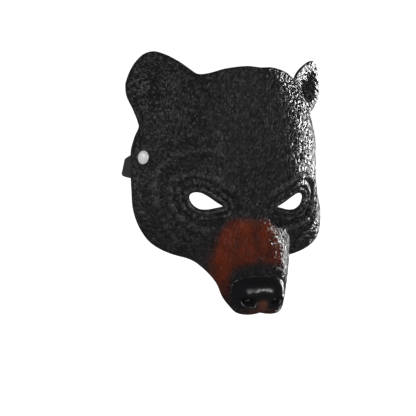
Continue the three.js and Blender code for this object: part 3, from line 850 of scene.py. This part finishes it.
def woven_elastic():
    """Dark elastic: ribs across the band, with rubber cords showing as lines along it."""
    material, tree, shader = plain_material("woven_elastic")
    weave = attribute(tree, "weave", "Vector")
    ribs = wave(tree, weave, "X", 0.8, 0.6)
    cords = wave(tree, weave, "Y", 0.32, 0.3)
    both = maths(tree, "MULTIPLY_ADD", ribs, 0.6, cords)
    put(tree, shader.inputs["Base Color"], mix(tree, ramp(tree, both, 0.2, 1.5), DARK_ELASTIC, ELASTIC))
    shader.inputs["Roughness"].default_value = 0.82
    shader.inputs["Sheen Weight"].default_value = 0.04
    add_bump(tree, shader, both, 0.7, WEAVE_BUMP)
    return material


# Pieces

def new_piece(name, points, faces, material, slot, *nodes):
    """A mesh piece from points in millimetres, which rides on the part and stands for its CAD nodes."""
    mesh = bpy.data.meshes.new(name)
    mesh.from_pydata((np.asarray(points) * MM).tolist(), [], faces)
    mesh.materials.append(material)
    mesh.shade_smooth()
    obj = bpy.data.objects.new(name, mesh)
    bpy.context.scene.collection.objects.link(obj)
    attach(obj, "root")
    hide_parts(*nodes)
    return obj


def store(mesh, name, values):
    """Keeps a number or a vector for each point of a mesh, for its material to read."""
    values = np.asarray(values, float)
    kind = "FLOAT" if values.ndim == 1 else "FLOAT_VECTOR"
    data = mesh.attributes.new(name, kind, "POINT").data
    data.foreach_set("value" if values.ndim == 1 else "vector", values.ravel())


def grid_normal(point):
    """The way out of a grid of points."""
    along = np.gradient(point, axis=1)
    up = np.gradient(point, axis=0)
    return unit(np.cross(along, up))


# share of the way through the wall, and how far the edge stands out there
RIM_RINGS = [(0.12, 0.55), (0.4, 0.95), (0.75, 0.75)]


def round_rim(outer, inner, rim):
    """A softly rounded edge between the outside and the inside, along every border."""
    after = dict(rim)
    before = {b: a for a, b in rim}
    keys = sorted(after)
    number = {k: i for i, k in enumerate(keys)}
    near = [before[k] for k in keys]
    far = [after[k] for k in keys]
    through = inner[keys] - outer[keys]
    away = unit(np.cross(unit(outer[far] - outer[near]), -through))
    rings = [outer[keys] + through * share + away * bulge for share, bulge in RIM_RINGS]
    n = len(outer)
    starts = [2 * n + r * len(keys) for r in range(len(rings))]
    faces = []
    for a, b in rim:
        line_a = [a] + [start + number[a] for start in starts] + [n + a]
        line_b = [b] + [start + number[b] for start in starts] + [n + b]
        for r in range(len(rings) + 1):
            faces.append((line_b[r], line_a[r], line_a[r + 1], line_b[r + 1]))
    return np.concatenate(rings), faces, np.array(keys * len(rings))


HAIR_RISE = 0.8
HAIR_FADE = (0.2, 3)  # it grows to that between these distances from an edge
FOLD_FADE = (0, 5)  # and the wrinkles and ear bowls grow between these
CALM = 0.75  # how far the hair dies down at an eye's edge
HOLLOW_KEPT = 1.4  # a hollow deeper than this is pressed into the inside too
NOSTRIL_KEPT = 1.2  # and so is a nostril deeper than this
RIM_INSIDE = 0.35  # how raw the cut edge looks


def mask_skin():
    """The mask's wall as one closed mesh, with its paint kept on its points."""
    angle, height, depth = wall_grid()
    form = form_point(angle, height)
    normal = form_normal(angle, height)
    outward = on_axis(angle, 0 * height, 1.0)
    soft = smooth_step(*FOLD_FADE, depth)
    pad = pad_share(form)
    nose = nose_relief(form)
    rings = eye_relief(form) + wrinkle_relief(form) * soft
    detail = rings * (1 - pad) + ear_relief(form) * soft
    shaped = form + normal * detail[..., None] + nose[..., None] * outward
    shaped_normal = grid_normal(shaped)
    lock = hair_relief(shaped, shaped_normal, depth)
    eye_gap = eye_distance(form)
    calm = CALM * bell(eye_gap / 6)
    amount = HAIR_RISE * smooth_step(*HAIR_FADE, depth) * (1 - pad) * (1 - calm)
    outer = shaped + shaped_normal * (lock * amount)[..., None]
    pressed = np.minimum(detail + HOLLOW_KEPT, 0)
    sunk = np.minimum(nose + NOSTRIL_KEPT, 0)
    inner = form + (pressed - WALL)[..., None] * normal + sunk[..., None] * outward

    groups = wall_faces(depth)
    used = np.unique(np.concatenate([faces.ravel() for faces in groups]))
    new_index = np.full(depth.size, -1)
    new_index[used] = np.arange(len(used))
    groups = [new_index[faces] for faces in groups]
    outer = outer.reshape(-1, 3)[used]
    inner = inner.reshape(-1, 3)[used]
    rim_points, rim_faces, rim_of = round_rim(outer, inner, border(groups))
    faces = [face for group in groups for face in group.tolist()]
    faces += [face for group in groups for face in (group[:, ::-1] + len(used)).tolist()]
    points = np.concatenate([outer, inner, rim_points])
    skin = new_piece("bear_skin", points, faces + rim_faces, fur_foam(), "foam", "mask_shell")

    def spread(field, inside_value=None):
        """A field on the outside, the inside and the rim; the inside may have one value of its own."""
        outside = field.reshape(depth.size, -1)[used]
        inside = outside if inside_value is None else np.full_like(outside, inside_value)
        return np.concatenate([outside, inside, outside[rim_of]]).squeeze()

    paint = {
        "lock": spread(lock, 0),
        "rust": spread(rust_share(form), 0),
        "pad": spread(pad, 0),
        "calm": spread(np.maximum(pad, CALM * bell(eye_gap / 7)), 1),
        # painted highlight on the ridges round the eyes, and paler ears
        "ridge_highlight_and_ears": spread(ridge_highlight_and_ear_share(form, rings, pad), 0),
        "septum": spread(septum_share(form), 0),
        "inside": np.repeat([0, 1, RIM_INSIDE], [len(used), len(used), len(rim_of)]),
        "flow": spread(hair_flow(form, angle)),
    }
    for name, values in paint.items():
        store(skin.data, name, values)


STRAP_DEPTH = WALL + 2 * GAP  # from the shell's outside to the strap
STRAP_HALF = STRAP_WIDTH / 2 / math.cos(STRAP_SLOPE)  # half of the slanting strap, measured upright
STRAP_LEAVES = 8  # degrees past its rivet where the strap leaves the shell
SHELL_STEPS = 24
FREE_STEPS = 160
UPRIGHT_BY = 0.12  # share of the free run over which the strap turns upright
MIRROR = np.array([-1.0, 1, 1])


def strap_height(y):
    """Height of the strap's middle, which drops toward the back."""
    rivet_y = rivet_frame(1)[0][1]
    return RIVET_HEIGHT - math.tan(STRAP_SLOPE) * (y - rivet_y)


def strap_edges(angle, middle):
    """The strap's upper and lower edge where it lies against the shell."""
    return (inner_point(angle, middle + STRAP_HALF, STRAP_DEPTH),
            inner_point(angle, middle - STRAP_HALF, STRAP_DEPTH))


def strap_stations():
    """The strap's cross lines: upper edge, lower edge, and the way inward, from one rivet to the other."""
    angle = np.linspace(RIVET_ANGLE - STRAP_END / DEGREE, RIVET_ANGLE + STRAP_LEAVES, SHELL_STEPS)
    middle = strap_height(form_point(angle, RIVET_HEIGHT + 0 * angle)[:, 1])
    upper, lower = strap_edges(angle, middle)
    inward = -form_normal(angle, middle)
    run = [(upper[-1] + lower[-1]) / 2]
    for across, back in STRAP_RUN:
        y = back * STRAP_BACK
        run.append(np.array([across * STRAP_SPAN / 2, y, strap_height(y)]))
    path = smooth_line(run + [p * MIRROR for p in reversed(run[:-1])], False, STRAP_STEPS)
    length = run_length(path)
    share = np.linspace(0, 1, FREE_STEPS + 1)[1:-1]
    even = np.stack([np.interp(share * length[-1], length, path[:, k]) for k in range(3)], -1)
    along = unit(np.gradient(np.concatenate([path[:1], even, path[-1:]]), axis=0)[1:-1])
    side_in = unit(np.stack([-along[:, 1], along[:, 0], 0 * along[:, 0]], -1))
    edge = (upper[-1] - lower[-1]) / 2
    free = smooth_step(0, UPRIGHT_BY, np.minimum(share, 1 - share))[:, None]
    leaning = np.where(share[:, None] > 0.5, edge * MIRROR, edge)
    edge_way = leaning * (1 - free) + np.array([0, 0, STRAP_HALF]) * free
    upper = np.concatenate([upper, even + edge_way, (upper * MIRROR)[::-1]])
    lower = np.concatenate([lower, even - edge_way, (lower * MIRROR)[::-1]])
    inward = np.concatenate([inward, side_in, (inward * MIRROR)[::-1]])
    return upper, lower, inward


# shares of the band's width where its flat sides have a line of points
BAND_LINES = [0.06, 0.25, 0.5, 0.75, 0.94]


def strap_band():
    """The elastic as a flat band with rounded edges, and its weave's own coordinates."""
    upper, lower, inward = strap_stations()
    length = run_length((upper + lower) / 2)
    section = [(x, 0.0) for x in BAND_LINES] + [(1.0, 0.5)]
    section += [(x, 1.0) for x in reversed(BAND_LINES)] + [(0.0, 0.5)]
    points = []
    weave = []
    for x, d in section:
        points.append(upper + (lower - upper) * x + inward * (d * STRAP_THICKNESS))
        weave.append(np.stack([length, 0 * length + x * STRAP_WIDTH, 0 * length + d], -1))
    count, n = len(section), len(length)
    points = np.stack(points, 1).reshape(-1, 3)
    weave = np.stack(weave, 1).reshape(-1, 3)
    faces = []
    for i in range(n - 1):
        for j in range(count):
            k = (j + 1) % count
            faces.append((i * count + j, i * count + k, (i + 1) * count + k, (i + 1) * count + j))
    faces.append(tuple(reversed(range(count))))
    faces.append(tuple((n - 1) * count + j for j in range(count)))
    band = new_piece("elastic_band", points, faces, woven_elastic(), "elastic", "elastic_strap")
    store(band.data, "weave", weave)


def strap_middle_depth():
    """Depth of the strap's outside behind a rivet's seat."""
    upper, lower = strap_edges(np.array(RIVET_ANGLE, float), np.array(RIVET_HEIGHT))
    middle, outward = rivet_frame(1)
    return float((middle - (upper + lower) / 2) @ outward)


def lathe(profile, turns):
    """Points and faces of a profile turned about +Z; it starts and ends on the axis."""
    points = []
    rings = profile[1:-1]
    for radius, height in rings:
        for k in range(turns):
            a = 2 * math.pi * k / turns
            points.append(Vector((radius * math.cos(a), radius * math.sin(a), height)))
    low = len(points)
    points += [Vector((0, 0, profile[0][1])), Vector((0, 0, profile[-1][1]))]
    faces = []
    for r in range(len(rings) - 1):
        for k in range(turns):
            m = (k + 1) % turns
            faces.append((r * turns + k, r * turns + m, (r + 1) * turns + m, (r + 1) * turns + k))
    last = (len(rings) - 1) * turns
    for k in range(turns):
        m = (k + 1) % turns
        faces.append((low, m, k))
        faces.append((low + 1, last + k, last + m))
    return points, faces


PLATE_ROUND = 0.4  # bevels of the back cap, behind and in front
PLATE_BEVEL = 0.2
CAP_ROLL = 0.35  # round of the cap's lower edge
CAP_STEP = 0.5  # from the cap's rolled edge in to its dome
DOME_STEPS = 8
DOME_POWER = 0.75  # under 1 makes the dome fuller than a round one
RIVET_TURNS = 48


def rivet(name, sign, material):
    """A domed cap with a rolled edge, its post and the flat cap behind the strap."""
    front = -strap_middle_depth() - STRAP_THICKNESS - ROUND_SEAT
    back = front - BACK_CAP_THICKNESS
    plate = BACK_CAP_DIAMETER / 2
    post = POST_DIAMETER / 2
    cap = CAP_DIAMETER / 2
    edge = ROUND_SEAT + CAP_EDGE
    profile = [(0, back), (plate - PLATE_ROUND, back), (plate, back + PLATE_ROUND)]
    profile += [(plate, front - PLATE_BEVEL), (plate - PLATE_BEVEL, front), (post, front)]
    profile += [(post, ROUND_SEAT), (cap - CAP_ROLL, ROUND_SEAT), (cap, ROUND_SEAT + CAP_ROLL)]
    profile += [(cap, edge - 0.1), (cap - 0.22, edge + 0.18)]
    for k in range(DOME_STEPS + 1):
        turn = math.pi / 2 * k / DOME_STEPS
        rise = (CAP_RISE - CAP_EDGE) * math.sin(turn)
        profile.append(((cap - CAP_STEP) * math.cos(turn) ** DOME_POWER, edge + rise))
    points, faces = lathe(profile, RIVET_TURNS)
    middle, outward = rivet_frame(sign)
    basis = Vector(outward).to_track_quat("Z", "Y").to_matrix()
    placed = [tuple(Vector(middle) + basis @ p) for p in points]
    new_piece(name + "_cap", placed, faces, material, "steel", name)


# Camera, floor and light

VIEW_YAW = math.radians(-30)
VIEW_PITCH = math.radians(25)
VIEW_DISTANCE = 1400
PHOTO_SIDE = 416
PHOTO_SCALE = 1.03  # photograph pixels per millimetre at the bridge of the nose
BRIDGE = (0, -82, 0)
BRIDGE_PIXEL = (253.5, 205.0)
SENSOR = 36
FARTHEST = 50


def photo_camera():
    """The photograph's own view: its turn, its distance, and the bridge of the nose on its pixel."""
    sideways = math.sin(VIEW_YAW)
    right = Vector((math.cos(VIEW_YAW), sideways * math.cos(VIEW_PITCH), -sideways * math.sin(VIEW_PITCH)))
    up = Vector((0, math.sin(VIEW_PITCH), math.cos(VIEW_PITCH)))
    back = right.cross(up).normalized()
    middle = PHOTO_SIDE / 2
    aside = (BRIDGE_PIXEL[0] - middle) / PHOTO_SCALE
    above = (middle - BRIDGE_PIXEL[1]) / PHOTO_SCALE
    spot = Vector(BRIDGE) + back * VIEW_DISTANCE - right * aside - up * above
    data = bpy.data.cameras.new("photo_camera")
    data.sensor_width = SENSOR
    data.lens = VIEW_DISTANCE * PHOTO_SCALE / PHOTO_SIDE * SENSOR
    data.clip_end = FARTHEST
    camera = bpy.data.objects.new("photo_camera", data)
    camera.matrix_world = Matrix.Translation(spot * MM) @ Matrix((right, up, back)).transposed().to_4x4()
    bpy.context.scene.collection.objects.link(camera)
    bpy.context.scene.camera = camera


FLOOR_DROP = 0.45
FLOOR_SIDE = 12
FLOOR_GREY = (0.8, 0.8, 0.8)
FLOOR_GLOW = (0.75, 0.97)  # below the mask, and far from it
GLOW_FROM = 0.6
GLOW_TO = 2.2
WALL_DISTANCE = 9
WALL_SIDES = 48
WHITE = (1.0, 1.0, 1.0)
BLACK = (0.0, 0.0, 0.0)
WORLD_STRENGTH = 0.08


def stage_piece(name, points, faces, material):
    """Part of the studio; it doesn't show in the mask's gloss."""
    mesh = bpy.data.meshes.new(name)
    mesh.from_pydata(points, [], faces)
    mesh.materials.append(material)
    obj = bpy.data.objects.new(name, mesh)
    obj.visible_glossy = False
    bpy.context.scene.collection.objects.link(obj)
    return obj


def floor():
    """A pale glowing table top, like a photographer's light table."""
    material, tree, shader = plain_material("pale_floor")
    put(tree, shader.inputs["Base Color"], FLOOR_GREY)
    put(tree, shader.inputs["Emission Color"], WHITE)
    shader.inputs["Roughness"].default_value = 0.9
    away = make_node(tree, "ShaderNodeVectorMath", operation="LENGTH")
    put(tree, away.inputs[0], object_place(tree))
    glow = ramp(tree, away.outputs["Value"], GLOW_FROM, GLOW_TO, *FLOOR_GLOW)
    put(tree, shader.inputs["Emission Strength"], glow)
    side = FLOOR_SIDE / 2
    corners = [(x, y, -FLOOR_DROP) for x, y in ((-side, -side), (side, -side), (side, side), (-side, side))]
    stage_piece("floor", corners, [(0, 1, 2, 3)], material)


def backdrop():
    """A white wall all round, far off, seen by the camera alone."""
    material, tree, shader = plain_material("white_wall")
    put(tree, shader.inputs["Base Color"], BLACK)
    put(tree, shader.inputs["Emission Color"], WHITE)
    shader.inputs["Emission Strength"].default_value = 1.0
    points = []
    for z in (-WALL_DISTANCE, WALL_DISTANCE):
        for k in range(WALL_SIDES):
            a = 2 * math.pi * k / WALL_SIDES
            points.append((math.cos(a) * WALL_DISTANCE, math.sin(a) * WALL_DISTANCE, z))
    faces = []
    for k in range(WALL_SIDES):
        m = (k + 1) % WALL_SIDES
        faces.append((k, m, WALL_SIDES + m, WALL_SIDES + k))
    stage_piece("backdrop", points, faces, material).visible_diffuse = False


def world():
    """Faint white light from all round, and colours shown as they are."""
    scene = bpy.context.scene
    scene.world = bpy.data.worlds.new("studio")
    scene.world.use_nodes = True
    background = scene.world.node_tree.nodes["Background"]
    background.inputs["Color"].default_value = (*WHITE, 1)
    background.inputs["Strength"].default_value = WORLD_STRENGTH
    scene.view_settings.view_transform = "Standard"


LIGHT_AIM = Vector((0, -0.05, 0.02))
# azimuth from straight ahead toward the wearer's left, elevation, distance, width, height, power,
# and whether it shows in the mask's gloss
SOFTBOXES = {
    "softbox_side": (106, -3, 1.5, 0.16, 0.72, 11.8, True),
    "softbox_front": (36, 30, 1.6, 0.24, 0.07, 4.5, True),
    "softbox_front_right": (4, 30, 1.6, 0.44, 0.08, 3.2, True),
    "softbox_left": (-100, 18, 2.0, 0.5, 0.5, 4.3, True),
    "softbox_top": (-65, 45, 2.0, 1.2, 1.2, 21, False),
}


def softbox(name, azimuth, elevation, distance, width, height, power, shine):
    """A soft rectangular light that faces the mask."""
    a = math.radians(azimuth)
    e = math.radians(elevation)
    way = Vector((math.sin(a) * math.cos(e), -math.cos(a) * math.cos(e), math.sin(e)))
    data = bpy.data.lights.new(name, "AREA")
    data.shape = "RECTANGLE"
    data.size = width
    data.size_y = height
    data.energy = power
    light = bpy.data.objects.new(name, data)
    light.location = LIGHT_AIM + way * distance
    light.rotation_euler = way.to_track_quat("Z", "Y").to_euler()
    light.visible_glossy = shine
    bpy.context.scene.collection.objects.link(light)


mask_skin()
strap_band()
metal = satin_metal()
for name, sign in (("rivet_left", 1), ("rivet_right", -1)):
    rivet(name, sign, metal)
photo_camera()
floor()
backdrop()
world()
for name, settings in SOFTBOXES.items():
    softbox(name, *settings)
